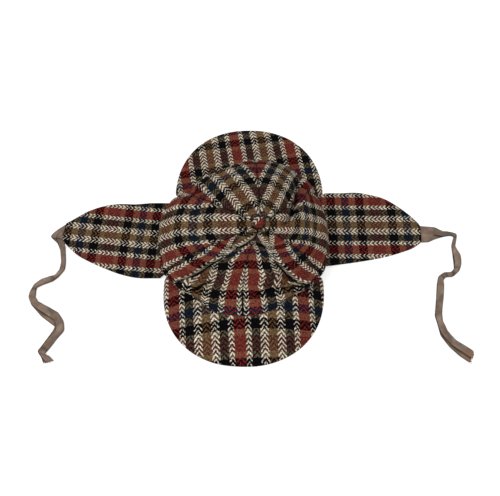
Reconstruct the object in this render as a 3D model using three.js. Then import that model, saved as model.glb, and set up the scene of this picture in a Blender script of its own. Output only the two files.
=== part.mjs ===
// A tweed deerstalker hat lying on a table: a six-gore crown with a covered button, a peak at
// the front, a peak at the back, two ear flaps spread flat and a ribbon at the end of each flap.
// Millimetres, +Z up. The front peak points to -Y, the ear flaps to -X and +X.
import * as THREE from 'three';
import { mergeVertices } from 'three/addons/utils/BufferGeometryUtils.js';

// Head opening: an oval, lifted at the front because the front peak slopes up to it
const HEAD_HALF_WIDTH = 83;
const HEAD_HALF_DEPTH = 101;
const HEAD_CENTRE_Y = -0.5;
const FRONT_LIFT = 26.5;
const BACK_LIFT = 5.5;
const BACK_SWING = 12;

// Crown: its button stands off the middle, because the soft crown has sunk forward
const CROWN_HEIGHT = 88;
const APEX_SHIFT_X = 17;
const APEX_SHIFT_Y = -19.5;
const GORE_LENGTH = 156;
const GORES = 6;
const PROFILE_SHARPNESS = 2.2;
const CROWN_WALL = 2.4;
const BUTTON_RADIUS = 7;
const BUTTON_HEIGHT = 5;
const SEAM_GAP = 0.3;

// Front and back peaks: stiffened cloth with a rounded outline
const PEAK_THICKNESS = 3;
const PEAK_ROUNDNESS = 2.2;
const FRONT_PEAK = {
  x: 0.8,
  y: HEAD_CENTRE_Y - 0.55 * HEAD_HALF_DEPTH,
  halfWidth: 1.1 * HEAD_HALF_WIDTH,
  reach: 92.8,
  sewnHalfTurn: THREE.MathUtils.degToRad(69.5),
  outlineHalfTurn: THREE.MathUtils.degToRad(97),
  bend: 1.15,
};
const BACK_PEAK = {
  x: 7,
  y: HEAD_CENTRE_Y + 0.75 * HEAD_HALF_DEPTH,
  halfWidth: 1.09 * HEAD_HALF_WIDTH,
  reach: 101,
  sewnHalfTurn: THREE.MathUtils.degToRad(47),
  outlineHalfTurn: THREE.MathUtils.degToRad(90),
  bend: 0.35,
};

// Ear flaps
const FLAP_THICKNESS = 3;
const FLAP_HALF_WIDTH = 52;
const LEFT_FLAP_LENGTH = 125;
const RIGHT_FLAP_LENGTH = 122;
const LEFT_FLAP_TURN = 174.4;
const RIGHT_FLAP_TURN = -3.1;
const LEFT_FLAP_Y = 9.8;
const RIGHT_FLAP_Y = 25.5;
const FLAP_ROOT_OUT = 8;
const FLAP_FALL = 0.3;

// Ribbons
const RIBBON_WIDTH = 23;
const RIBBON_LENGTH = 235;
const RIBBON_THICKNESS = 0.9;
const RIBBON_ARCH = 0.42;

// Colours
const TWEED_COLOUR = 0x6d5a49;
const RIBBON_COLOUR = 0x877064;

// Crown profile at the front, the sides and the back. up: share of the gore's length from the
// head opening; reach: share of the opening's half size; rise: share of the crown's height
const FRONT_PROFILE = [
  { up: 0.00, reach: 1.000, rise: 0.000 },
  { up: 0.08, reach: 0.905, rise: 0.165 },
  { up: 0.16, reach: 0.815, rise: 0.340 },
  { up: 0.27, reach: 0.712, rise: 0.570 },
  { up: 0.39, reach: 0.584, rise: 0.800 },
  { up: 0.50, reach: 0.436, rise: 0.930 },
  { up: 0.61, reach: 0.285, rise: 0.880 },
  { up: 0.75, reach: 0.165, rise: 0.850 },
  { up: 0.88, reach: 0.080, rise: 0.930 },
  { up: 1.00, reach: 0.000, rise: 1.000 },
];
const SIDE_PROFILE = [
  { up: 0.00, reach: 1.00, rise: 0.00 },
  { up: 0.08, reach: 1.14, rise: 0.11 },
  { up: 0.16, reach: 1.18, rise: 0.25 },
  { up: 0.27, reach: 1.09, rise: 0.44 },
  { up: 0.39, reach: 0.94, rise: 0.60 },
  { up: 0.50, reach: 0.78, rise: 0.71 },
  { up: 0.61, reach: 0.61, rise: 0.80 },
  { up: 0.75, reach: 0.40, rise: 0.89 },
  { up: 0.88, reach: 0.19, rise: 0.96 },
  { up: 1.00, reach: 0.00, rise: 1.00 },
];
const BACK_PROFILE = [
  { up: 0.00, reach: 1.00, rise: 0.00 },
  { up: 0.08, reach: 1.05, rise: 0.12 },
  { up: 0.16, reach: 1.06, rise: 0.27 },
  { up: 0.27, reach: 0.99, rise: 0.47 },
  { up: 0.39, reach: 0.87, rise: 0.65 },
  { up: 0.50, reach: 0.73, rise: 0.78 },
  { up: 0.61, reach: 0.57, rise: 0.87 },
  { up: 0.75, reach: 0.37, rise: 0.94 },
  { up: 0.88, reach: 0.18, rise: 0.98 },
  { up: 1.00, reach: 0.00, rise: 1.00 },
];

// Dents and bulges of the crown, each along a line of three points. around: share of the way
// round from the front seam towards the right; up: as above; depth: share of the crown's height,
// inwards; width: share of the gore's length
const CROWN_FOLDS = [
  // valley from the button down the front left gore
  { around: [-0.124, -0.088, -0.112], up: [0.20, 0.49, 0.80], depth: 0.105, width: 0.060 },
  // roll of cloth that stands beside it
  { around: [-0.165, -0.140, -0.150], up: [0.16, 0.40, 0.62], depth: -0.065, width: 0.085 },
  // valley from the button down the front right gore
  { around: [0.116, 0.074, 0.092], up: [0.20, 0.55, 0.84], depth: 0.095, width: 0.055 },
  // roll of cloth beside it
  { around: [0.160, 0.130, 0.125], up: [0.16, 0.42, 0.62], depth: -0.055, width: 0.080 },
  // cloth that hangs over the corners of the front peak
  { around: [-0.180, -0.155, -0.120], up: [0.09, 0.12, 0.14], depth: -0.050, width: 0.080 },
  { around: [0.180, 0.150, 0.115], up: [0.09, 0.12, 0.15], depth: -0.070, width: 0.080 },
  // tuck above the front peak on the right
  { around: [0.036, 0.080, 0.125], up: [0.150, 0.150, 0.130], depth: 0.045, width: 0.040 },
  { around: [0.045, 0.085, 0.125], up: [0.240, 0.230, 0.210], depth: -0.050, width: 0.055 },
  // small tuck above the front peak on the left
  { around: [-0.100, -0.086, -0.075], up: [0.150, 0.170, 0.190], depth: 0.035, width: 0.040 },
  // crease that runs from the back right gore to the right of the button
  { around: [0.390, 0.335, 0.262], up: [0.30, 0.53, 0.75], depth: 0.080, width: 0.050 },
  { around: [0.345, 0.310, 0.270], up: [0.26, 0.42, 0.55], depth: -0.050, width: 0.080 },
  // hollow at the back left, with the fold line along its seam
  { around: [-0.370, -0.400, -0.440], up: [0.20, 0.22, 0.24], depth: 0.110, width: 0.120 },
  { around: [-0.340, -0.360, -0.356], up: [0.28, 0.44, 0.58], depth: 0.040, width: 0.040 },
  // shallow bend across the left gore
  { around: [-0.307, -0.262, -0.213], up: [0.50, 0.55, 0.54], depth: 0.035, width: 0.070 },
];

// Edges of the ear flaps at shares of their length: share of the way from the ribbon's half
// width, at the tip, to the flap's own half width, towards the back and the front of the hat
const FLAP_EDGES = [
  { along: 0.00, leftBack: 0.990, leftFront: 0.990, rightBack: 0.860, rightFront: 0.980 },
  { along: 0.05, leftBack: 0.985, leftFront: 1.000, rightBack: 0.970, rightFront: 0.975 },
  { along: 0.22, leftBack: 0.945, leftFront: 1.020, rightBack: 1.020, rightFront: 0.860 },
  { along: 0.38, leftBack: 0.855, leftFront: 0.950, rightBack: 1.065, rightFront: 0.755 },
  { along: 0.53, leftBack: 0.820, leftFront: 0.815, rightBack: 1.000, rightFront: 0.645 },
  { along: 0.67, leftBack: 0.710, leftFront: 0.660, rightBack: 0.870, rightFront: 0.520 },
  { along: 0.81, leftBack: 0.490, leftFront: 0.467, rightBack: 0.585, rightFront: 0.355 },
  { along: 0.91, leftBack: 0.235, leftFront: 0.245, rightBack: 0.320, rightFront: 0.215 },
  { along: 0.97, leftBack: 0.070, leftFront: 0.080, rightBack: 0.120, rightFront: 0.080 },
  { along: 1.00, leftBack: 0.000, leftFront: 0.000, rightBack: 0.000, rightFront: 0.000 },
];

// Each ribbon where it lies, seen from above, from the flap's tip to its free end. out, forward:
// middle of the ribbon, away from the hat and towards its front, as shares of the ribbon's
// length; acrossOut, acrossForward: from one edge to the other, as shares of its width
const LEFT_RIBBON = [
  { out: 0.000, forward: 0.000, acrossOut: 0.10, acrossForward: 0.99 },
  { out: 0.024, forward: 0.021, acrossOut: -0.26, acrossForward: 0.73 },
  { out: 0.047, forward: 0.048, acrossOut: -0.67, acrossForward: 0.41 },
  { out: 0.036, forward: 0.079, acrossOut: -0.67, acrossForward: 0.26 },
  { out: 0.015, forward: 0.109, acrossOut: -0.41, acrossForward: 0.24 },
  { out: -0.001, forward: 0.155, acrossOut: -0.32, acrossForward: 0.26 },
  { out: -0.009, forward: 0.201, acrossOut: -0.32, acrossForward: 0.24 },
  { out: 0.014, forward: 0.248, acrossOut: -0.33, acrossForward: 0.24 },
  { out: 0.058, forward: 0.286, acrossOut: -0.22, acrossForward: 0.33 },
  { out: 0.097, forward: 0.311, acrossOut: -0.24, acrossForward: 0.30 },
  { out: 0.124, forward: 0.349, acrossOut: -0.35, acrossForward: 0.13 },
  { out: 0.120, forward: 0.382, acrossOut: -0.39, acrossForward: -0.11 },
  { out: 0.080, forward: 0.430, acrossOut: -0.46, acrossForward: -0.35 },
  { out: 0.024, forward: 0.479, acrossOut: -0.35, acrossForward: -0.52 },
  { out: -0.031, forward: 0.506, acrossOut: -0.48, acrossForward: -0.39 },
  { out: -0.034, forward: 0.551, acrossOut: -0.59, acrossForward: -0.22 },
  { out: -0.020, forward: 0.594, acrossOut: -0.57, acrossForward: 0.02 },
  { out: 0.017, forward: 0.635, acrossOut: -0.54, acrossForward: 0.11 },
  { out: 0.018, forward: 0.666, acrossOut: -0.70, acrossForward: 0.09 },
  { out: -0.010, forward: 0.702, acrossOut: -0.70, acrossForward: -0.17 },
];
const RIGHT_RIBBON = [
  { out: 0.000, forward: 0.000, acrossOut: 0.05, acrossForward: -1.00 },
  { out: 0.045, forward: 0.006, acrossOut: 0.17, acrossForward: -0.78 },
  { out: 0.090, forward: 0.006, acrossOut: 0.33, acrossForward: -0.35 },
  { out: 0.135, forward: 0.009, acrossOut: 0.28, acrossForward: -0.22 },
  { out: 0.156, forward: 0.023, acrossOut: 0.41, acrossForward: -0.11 },
  { out: 0.150, forward: 0.061, acrossOut: 0.33, acrossForward: 0.07 },
  { out: 0.151, forward: 0.107, acrossOut: 0.36, acrossForward: -0.02 },
  { out: 0.159, forward: 0.160, acrossOut: 0.40, acrossForward: 0.00 },
  { out: 0.151, forward: 0.205, acrossOut: 0.36, acrossForward: 0.20 },
  { out: 0.111, forward: 0.236, acrossOut: 0.17, acrossForward: 0.35 },
  { out: 0.075, forward: 0.256, acrossOut: 0.24, acrossForward: 0.37 },
  { out: 0.049, forward: 0.303, acrossOut: 0.34, acrossForward: 0.07 },
  { out: 0.037, forward: 0.375, acrossOut: 0.42, acrossForward: 0.02 },
  { out: 0.024, forward: 0.443, acrossOut: 0.38, acrossForward: 0.02 },
  { out: 0.030, forward: 0.494, acrossOut: 0.39, acrossForward: -0.15 },
  { out: 0.050, forward: 0.546, acrossOut: 0.37, acrossForward: -0.28 },
  { out: 0.090, forward: 0.601, acrossOut: 0.37, acrossForward: -0.33 },
  { out: 0.129, forward: 0.645, acrossOut: 0.37, acrossForward: -0.43 },
  { out: 0.167, forward: 0.672, acrossOut: 0.28, acrossForward: -0.65 },
];

// Smooth value of one column of a table at a place between its rows
function column(table, at, name, value) {
  const last = table.length - 1;
  const slope = (i) => {
    const before = table[Math.max(i - 1, 0)];
    const after = table[Math.min(i + 1, last)];
    return (after[name] - before[name]) / (after[at] - before[at]);
  };
  let row = 0;
  while (row < last - 1 && table[row + 1][at] <= value) row += 1;
  const span = table[row + 1][at] - table[row][at];
  const s = (value - table[row][at]) / span;
  const s2 = s * s;
  const s3 = s2 * s;
  return (2 * s3 - 3 * s2 + 1) * table[row][name]
    + (s3 - 2 * s2 + s) * span * slope(row)
    + (3 * s2 - 2 * s3) * table[row + 1][name]
    + (s3 - s2) * span * slope(row + 1);
}

const smoothStep = (value) => {
  const s = Math.min(Math.max(value, 0), 1);
  return s * s * (3 - 2 * s);
};

// A closed piece of cloth between an upper and a lower grid of points of the same size
function clothPiece(name, upper, lower, material) {
  const rows = upper.length;
  const columns = upper[0].length;
  const points = [...upper.flat(), ...lower.flat()];
  const top = (r, c) => r * columns + c;
  const bottom = (r, c) => rows * columns + top(r, c);
  const faces = [];
  const quad = (a, b, c, d) => faces.push(a, b, c, a, c, d);
  const edge = (from, to) => quad(top(...from), top(...to), bottom(...to), bottom(...from));
  for (let r = 0; r < rows - 1; r += 1) {
    for (let c = 0; c < columns - 1; c += 1) {
      quad(top(r, c), top(r, c + 1), top(r + 1, c + 1), top(r + 1, c));
      quad(bottom(r, c), bottom(r + 1, c), bottom(r + 1, c + 1), bottom(r, c + 1));
    }
  }
  for (let r = 0; r < rows - 1; r += 1) {
    edge([r, 0], [r + 1, 0]);
    edge([r + 1, columns - 1], [r, columns - 1]);
  }
  for (let c = 0; c < columns - 1; c += 1) {
    edge([0, c + 1], [0, c]);
    edge([rows - 1, c], [rows - 1, c + 1]);
  }
  let volume = 0;
  for (let i = 0; i < faces.length; i += 3) {
    const [a, b, c] = [points[faces[i]], points[faces[i + 1]], points[faces[i + 2]]];
    volume += a.dot(b.clone().cross(c));
  }
  if (volume < 0) faces.reverse();
  const geometry = new THREE.BufferGeometry();
  const values = points.flatMap((p) => p.toArray());
  geometry.setAttribute('position', new THREE.Float32BufferAttribute(values, 3));
  geometry.setIndex(faces);
  const mesh = new THREE.Mesh(geometry, material);
  mesh.name = name;
  return mesh;
}

// Rows of points of a surface given by two shares, each from 0 to 1
const grid = (rows, columns, point) => Array.from({ length: rows + 1 }, (_, r) => (
  Array.from({ length: columns + 1 }, (__, c) => point(r / rows, c / columns))));

// Angle round the head opening, 0 at the front, for an equal share of its length
function openingAngle(around) {
  const w2 = HEAD_HALF_WIDTH ** 2;
  const d2 = HEAD_HALF_DEPTH ** 2;
  const even = 2 * Math.PI * around;
  return even + (d2 - w2) / (4 * (d2 + w2)) * Math.sin(2 * even);
}

const openingHeight = (angle) => (
  (FRONT_LIFT + BACK_LIFT) / 2 + (FRONT_LIFT - BACK_LIFT) / 2 * Math.cos(angle));

// How much of the front, side and back profile holds at an angle
function sideWeights(angle) {
  const front = Math.max(Math.cos(angle), 0) ** PROFILE_SHARPNESS;
  const back = Math.max(-Math.cos(angle), 0) ** PROFILE_SHARPNESS;
  return { front, back, side: 1 - front - back };
}

// A point on the edge of the head opening, at the angle, moved inwards by the inset
function openingPoint(angle, inset, z) {
  const { back } = sideWeights(angle);
  return new THREE.Vector3(
    (HEAD_HALF_WIDTH - inset) * Math.sin(angle) + BACK_SWING * back,
    HEAD_CENTRE_Y - (HEAD_HALF_DEPTH - inset) * Math.cos(angle),
    z,
  );
}

// The crown's outer face before its dents: rings of the opening's shape that shrink and lean
// towards the button
function plainCrown(around, up) {
  const angle = openingAngle(around);
  const weight = sideWeights(angle);
  const blend = (kind) => weight.front * column(FRONT_PROFILE, 'up', kind, up)
    + weight.side * column(SIDE_PROFILE, 'up', kind, up)
    + weight.back * column(BACK_PROFILE, 'up', kind, up);
  const reach = blend('reach');
  const lean = smoothStep((up - 0.1) / 0.9);
  const base = openingHeight(angle);
  return new THREE.Vector3(
    lean * APEX_SHIFT_X + reach * HEAD_HALF_WIDTH * Math.sin(angle)
      + BACK_SWING * weight.back * Math.min(reach, 1),
    HEAD_CENTRE_Y + lean * APEX_SHIFT_Y - reach * HEAD_HALF_DEPTH * Math.cos(angle),
    base + blend('rise') * (CROWN_HEIGHT - base),
  );
}

// Outward normal of a surface given as a function of around and up, from points a small step
// away on each side; the button's own point is kept clear, because the rings end there
function normalOf(surface, around, up) {
  const step = 0.004;
  const top = Math.min(up + step, 0.99);
  const bottom = Math.max(top - 2 * step, 0);
  const ring = Math.min(up, 0.985);
  const alongRing = surface(around + step, ring).sub(surface(around - step, ring));
  const upwards = surface(around, top).sub(surface(around, bottom));
  return alongRing.cross(upwards).normalize();
}

// Distance on the cloth from a place to a line of three points, as a share of the gore's length
function foldDistance(fold, around, up) {
  const ringLength = Math.PI * (HEAD_HALF_WIDTH + HEAD_HALF_DEPTH) / GORE_LENGTH;
  const ring = ringLength * Math.sqrt(Math.max(1 - fold.up[1] ** 2, 0.1));
  let nearest = Infinity;
  for (let i = 0; i < 2; i += 1) {
    let turn = around - fold.around[i];
    turn -= Math.round(turn);
    const place = new THREE.Vector2(turn * ring, up - fold.up[i]);
    const line = new THREE.Vector2(
      (fold.around[i + 1] - fold.around[i]) * ring,
      fold.up[i + 1] - fold.up[i],
    );
    const along = Math.min(Math.max(place.dot(line) / line.lengthSq(), 0), 1);
    nearest = Math.min(nearest, place.sub(line.multiplyScalar(along)).length());
  }
  return nearest;
}

// Depth of all the dents at a place; it fades out at the head opening and under the button
function foldDepth(around, up) {
  const fade = smoothStep(up / 0.1) * smoothStep((1 - up) / 0.15);
  const depth = (fold) => {
    const away = foldDistance(fold, around, up) / fold.width;
    return fold.depth * Math.exp(-(away ** 2));
  };
  return CROWN_HEIGHT * fade * CROWN_FOLDS.reduce((sum, fold) => sum + depth(fold), 0);
}

// The crown's outer face with its dents and rolls
function crownFace(around, up) {
  const normal = normalOf(plainCrown, around, up);
  return plainCrown(around, up).addScaledVector(normal, -foldDepth(around, up));
}

// One gore: its share of the ring, from the opening nearly to the button, with half a seam gap
// left at each side and a wider one between the inner walls, which lean towards each other
function gore(name, number, material) {
  const top = 1 - 0.5 * BUTTON_RADIUS / GORE_LENGTH;
  const place = (r, c, gap) => {
    const up = r * top;
    const ringLength = Math.PI * (HEAD_HALF_WIDTH + HEAD_HALF_DEPTH) * (1 - up) ** 0.8;
    const halfGap = 0.5 * GORES * gap / Math.max(ringLength, BUTTON_RADIUS * 2);
    return { around: (number + halfGap + c * (1 - 2 * halfGap)) / GORES, up };
  };
  const outer = (r, c) => {
    const { around, up } = place(r, c, SEAM_GAP);
    return crownFace(around, up);
  };
  const inner = (r, c) => {
    const { around, up } = place(r, c, 3 * SEAM_GAP);
    const angle = openingAngle(around);
    if (up === 0) return openingPoint(angle, CROWN_WALL, openingHeight(angle));
    return crownFace(around, up).addScaledVector(normalOf(crownFace, around, up), -CROWN_WALL);
  };
  return clothPiece(name, grid(14, 12, outer), grid(14, 12, inner), material);
}

// A peak: its inner edge lies under the crown's edge, its outline is a rounded oval. side: -1 at
// the front, 1 at the back; sewnHalfTurn: how far round the opening it is sewn to each side;
// outlineHalfTurn: how far round the oval its outline runs; bend: 1 for an even slope, less for
// a steep root and a flat rim
function peak(name, side, shape, material) {
  const point = (r, c) => {
    const sweep = 2 * c - 1;
    const angle = sweep * shape.sewnHalfTurn + (side > 0 ? Math.PI : 0);
    const sewnHeight = openingHeight(angle) - SEAM_GAP;
    const inner = openingPoint(angle, CROWN_WALL + SEAM_GAP, sewnHeight);
    const turn = sweep * shape.outlineHalfTurn;
    const round = (value) => Math.sign(value) * Math.abs(value) ** (2 / PEAK_ROUNDNESS);
    const outer = new THREE.Vector3(
      shape.x - side * shape.halfWidth * round(Math.sin(turn)),
      shape.y + side * shape.reach * round(Math.cos(turn)),
      PEAK_THICKNESS,
    );
    const p = inner.lerp(outer, r);
    p.z = PEAK_THICKNESS + (sewnHeight - PEAK_THICKNESS) * (1 - r ** shape.bend);
    return p;
  };
  const lowered = (r, c) => point(r, c).setZ(point(r, c).z - PEAK_THICKNESS);
  return clothPiece(name, grid(6, 20, point), grid(6, 20, lowered), material);
}

// Where a flap starts, beside the head opening, and the directions along and across it
function flapFrame(side) {
  const left = side < 0;
  const turn = THREE.MathUtils.degToRad(left ? LEFT_FLAP_TURN : RIGHT_FLAP_TURN);
  const axis = new THREE.Vector3(Math.cos(turn), Math.sin(turn), 0);
  const towardsBack = new THREE.Vector3(-Math.sin(turn), Math.cos(turn), 0).multiplyScalar(side);
  const root = new THREE.Vector3(
    side * (HEAD_HALF_WIDTH + FLAP_ROOT_OUT),
    left ? LEFT_FLAP_Y : RIGHT_FLAP_Y,
    0,
  );
  const length = left ? LEFT_FLAP_LENGTH : RIGHT_FLAP_LENGTH;
  return { left, axis, towardsBack, root, length };
}

// An ear flap: its root lies under the crown's edge and comes down to the table, the rest is
// flat. sewnFrom, sewnTo: where it is sewn, in degrees from the front. Rows below 0 run up under
// the crown, those above are shares of the flap's length
function earFlap(name, side, sewnFrom, sewnTo, material) {
  const { left, axis, towardsBack, root, length } = flapFrame(side);
  const rows = [-1, -0.5, 0, 0.05, 0.13, 0.22, 0.34, 0.46, 0.58, 0.7, 0.82, 0.91, 0.97, 1];
  const columns = 8;
  const tipHalf = RIBBON_WIDTH / 2;
  const point = (row, share) => {
    const sweep = 2 * share - 1;
    const along = Math.max(row, 0);
    const edge = `${left ? 'left' : 'right'}${sweep > 0 ? 'Back' : 'Front'}`;
    const half = tipHalf + column(FLAP_EDGES, 'along', edge, along) * (FLAP_HALF_WIDTH - tipHalf);
    const p = root.clone().addScaledVector(axis, along * length);
    p.addScaledVector(towardsBack, sweep * half);
    const angle = side * THREE.MathUtils.degToRad(sewnFrom + (sewnTo - sewnFrom) * share);
    const sewnHeight = openingHeight(angle) - SEAM_GAP;
    if (row < 0) p.lerp(openingPoint(angle, CROWN_WALL + SEAM_GAP, sewnHeight), -row);
    const fall = smoothStep((FLAP_FALL - row) / (FLAP_FALL + 1));
    p.z = FLAP_THICKNESS + (sewnHeight - FLAP_THICKNESS) * fall;
    return p;
  };
  const surface = (drop) => rows.map((row) => (
    Array.from({ length: columns + 1 }, (_, c) => {
      const p = point(row, c / columns);
      return p.setZ(p.z - drop);
    })));
  return clothPiece(name, surface(0), surface(FLAP_THICKNESS), material);
}

// A ribbon: a strip that starts at the flap's tip; where it is seen narrower than its width it
// is arched along its middle
function ribbon(name, side, table, material) {
  const { axis, root, length } = flapFrame(side);
  const tip = root.clone().addScaledVector(axis, length + SEAM_GAP);
  const edge = (sign) => new THREE.CatmullRomCurve3(table.map((row) => new THREE.Vector3(
    tip.x + side * (row.out * RIBBON_LENGTH + sign * row.acrossOut * RIBBON_WIDTH / 2),
    tip.y - row.forward * RIBBON_LENGTH - sign * row.acrossForward * RIBBON_WIDTH / 2,
    0,
  )), false, 'centripetal');
  const edges = [edge(-1), edge(1)];
  const steps = 2 * (table.length - 1);
  const shares = [0, 0.25, 0.5, 0.75, 1];
  const strip = (lift) => Array.from({ length: steps + 1 }, (_, i) => {
    const [a, b] = edges.map((curve) => curve.getPoint(i / steps));
    const spare = Math.max(1 - a.distanceTo(b) / RIBBON_WIDTH, 0);
    return shares.map((share) => {
      const p = a.clone().lerp(b, share);
      return p.setZ(lift + RIBBON_ARCH * RIBBON_WIDTH * spare * Math.sin(Math.PI * share));
    });
  });
  return clothPiece(name, strip(RIBBON_THICKNESS), strip(0), material);
}

// The covered button: a low dome with a flat underside and a narrower foot
function coveredButton(material) {
  const steps = 6;
  const profile = [new THREE.Vector2(0, 0), new THREE.Vector2(0.86 * BUTTON_RADIUS, 0)];
  for (let i = 1; i < steps; i += 1) {
    const turn = i / steps * Math.PI / 2;
    const radius = BUTTON_RADIUS * Math.cos(turn * (0.5 + 0.5 * i / steps));
    profile.push(new THREE.Vector2(radius, BUTTON_HEIGHT * (0.2 + 0.8 * Math.sin(turn))));
  }
  profile.push(new THREE.Vector2(0, BUTTON_HEIGHT));
  const lathe = new THREE.LatheGeometry(profile, 16).rotateX(Math.PI / 2);
  lathe.deleteAttribute('normal');
  lathe.deleteAttribute('uv');
  const mesh = new THREE.Mesh(mergeVertices(lathe, 0.001), material);
  mesh.name = 'crown_button';
  mesh.position.set(APEX_SHIFT_X, HEAD_CENTRE_Y + APEX_SHIFT_Y, CROWN_HEIGHT + SEAM_GAP);
  return mesh;
}

function cloth(color, roughness) {
  return new THREE.MeshStandardMaterial({ color, roughness, metalness: 0 });
}
const tweed = () => cloth(TWEED_COLOUR, 0.95);
const tape = () => cloth(RIBBON_COLOUR, 0.8);

const hat = new THREE.Group();
const GORE_PLACES = ['front_right', 'right', 'back_right', 'back_left', 'left', 'front_left'];
GORE_PLACES.forEach((place, number) => hat.add(gore(`crown_${place}`, number, tweed())));
hat.add(coveredButton(tweed()));
hat.add(peak('front_peak', -1, FRONT_PEAK, tweed()));
hat.add(peak('back_peak', 1, BACK_PEAK, tweed()));
hat.add(earFlap('left_ear_flap', -1, 71.5, 122, tweed()));
hat.add(earFlap('right_ear_flap', 1, 72.5, 130, tweed()));
hat.add(ribbon('left_ribbon', -1, LEFT_RIBBON, tape()));
hat.add(ribbon('right_ribbon', 1, RIGHT_RIBBON, tape()));

// The origin is the middle of the whole hat on the table
const box = new THREE.Box3().setFromObject(hat, true);
const middle = box.getCenter(new THREE.Vector3());
hat.position.set(-middle.x, -middle.y, -box.min.z);
hat.updateMatrixWorld(true);

export default hat;
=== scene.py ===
"""A tweed deerstalker hat that lies on a pale floor: crown of six gores with its folds, covered
button, two peaks, two ear flaps spread flat and a ribbon at the end of each flap. Sizes are in
millimetres here and are turned to metres where a mesh is made."""

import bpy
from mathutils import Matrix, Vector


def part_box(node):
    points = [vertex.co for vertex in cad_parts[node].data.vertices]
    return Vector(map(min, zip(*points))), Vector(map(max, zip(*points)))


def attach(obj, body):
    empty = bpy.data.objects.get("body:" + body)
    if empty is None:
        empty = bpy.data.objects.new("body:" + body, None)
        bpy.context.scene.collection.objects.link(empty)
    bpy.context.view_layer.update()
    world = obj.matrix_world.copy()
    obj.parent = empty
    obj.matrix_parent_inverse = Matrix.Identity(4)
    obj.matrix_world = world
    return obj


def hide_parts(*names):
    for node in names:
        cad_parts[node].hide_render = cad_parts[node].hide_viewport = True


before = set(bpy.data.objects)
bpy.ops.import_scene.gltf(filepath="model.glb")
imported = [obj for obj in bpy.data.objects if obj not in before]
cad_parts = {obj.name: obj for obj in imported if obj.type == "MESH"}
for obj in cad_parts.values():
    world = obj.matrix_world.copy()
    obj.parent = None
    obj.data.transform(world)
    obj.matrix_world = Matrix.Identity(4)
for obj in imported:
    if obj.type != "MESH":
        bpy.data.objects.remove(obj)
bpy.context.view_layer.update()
import bpy
import numpy as np

MM = 0.001

# Sizes of the hat, the same as in the solids, where only the ribbons are thicker
HEAD_HALF_WIDTH = 83
HEAD_HALF_DEPTH = 101
HEAD_CENTRE_Y = -0.5
FRONT_LIFT = 26.5
BACK_LIFT = 5.5
BACK_SWING = 12
CROWN_HEIGHT = 88
APEX_SHIFT = (17, -19.5)
APEX = np.array([APEX_SHIFT[0], HEAD_CENTRE_Y + APEX_SHIFT[1]])
GORE_LENGTH = 156
GORES = 6
PROFILE_SHARPNESS = 2.2
CROWN_WALL = 2.4
BUTTON_RADIUS = 7
BUTTON_HEIGHT = 5
SEAM_GAP = 0.3
PEAK_THICKNESS = 3
PEAK_ROUNDNESS = 2.2
FLAP_THICKNESS = 3
FLAP_HALF_WIDTH = 52
FLAP_FALL = 0.3
RIBBON_WIDTH = 23
RIBBON_UNIT = 235
RIBBON_THICKNESS = 0.7

# The check in the cloth: one repeat of its warp stripes and of its weft rows
WARP_REPEAT = 72
WEFT_REPEAT = 74

# Crown profiles: share of the gore's length, reach as a share of the opening's half size, rise
# as a share of the crown's height
FRONT_PROFILE = np.array([
    [0.00, 1.000, 0.000], [0.08, 0.905, 0.165], [0.16, 0.815, 0.340], [0.27, 0.712, 0.570],
    [0.39, 0.584, 0.800], [0.50, 0.436, 0.930], [0.61, 0.285, 0.880], [0.75, 0.165, 0.850],
    [0.88, 0.080, 0.930], [1.00, 0.000, 1.000]])
SIDE_PROFILE = np.array([
    [0.00, 1.00, 0.00], [0.08, 1.14, 0.11], [0.16, 1.18, 0.25], [0.27, 1.09, 0.44],
    [0.39, 0.94, 0.60], [0.50, 0.78, 0.71], [0.61, 0.61, 0.80], [0.75, 0.40, 0.89],
    [0.88, 0.19, 0.96], [1.00, 0.00, 1.00]])
BACK_PROFILE = np.array([
    [0.00, 1.00, 0.00], [0.08, 1.05, 0.12], [0.16, 1.06, 0.27], [0.27, 0.99, 0.47],
    [0.39, 0.87, 0.65], [0.50, 0.73, 0.78], [0.61, 0.57, 0.87], [0.75, 0.37, 0.94],
    [0.88, 0.18, 0.98], [1.00, 0.00, 1.00]])

# Folds of the crown. line: points as share round from the front seam towards the right, share
# of the gore's length and depth inwards in mm; before, after: its width in mm on the side of
# the smaller and of the larger share round. The lines with a name also get painted shade as dark
# creases.
LEFT_VALLEY = [(-.136, .19, 1), (-.122, .245, 6), (-.114, .30, 8), (-.108, .385, 8.5),
               (-.101, .435, 5), (-.090, .47, 2.5), (-.108, .58, 0.8), (-.130, .78, 0.8),
               (-.135, .93, 0)]
RIGHT_VALLEY = [(.128, .17, 1), (.111, .23, 5), (.104, .30, 7.5), (.094, .385, 6.5),
                (.087, .44, 3.5), (.090, .555, 0.8), (.105, .75, 0.8), (.11, .93, 0)]
RIGHT_TUCK = [(.034, .150, 1), (.044, .165, 5), (.057, .183, 6.5), (.068, .200, 7),
              (.082, .188, 7), (.097, .170, 7), (.108, .181, 6), (.124, .160, 1)]
LEFT_TUCK = [(-.104, .155, 1), (-.095, .19, 4), (-.085, .225, 4), (-.080, .25, 1)]
BACK_CREASE = [(.395, .29, 1), (.372, .40, 5), (.354, .485, 6.5), (.317, .58, 7),
               (.290, .665, 6), (.257, .755, 3), (.23, .82, 0)]
FRONT_SEAM = [(0, .02, 0), (0, .15, 0)]
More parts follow.
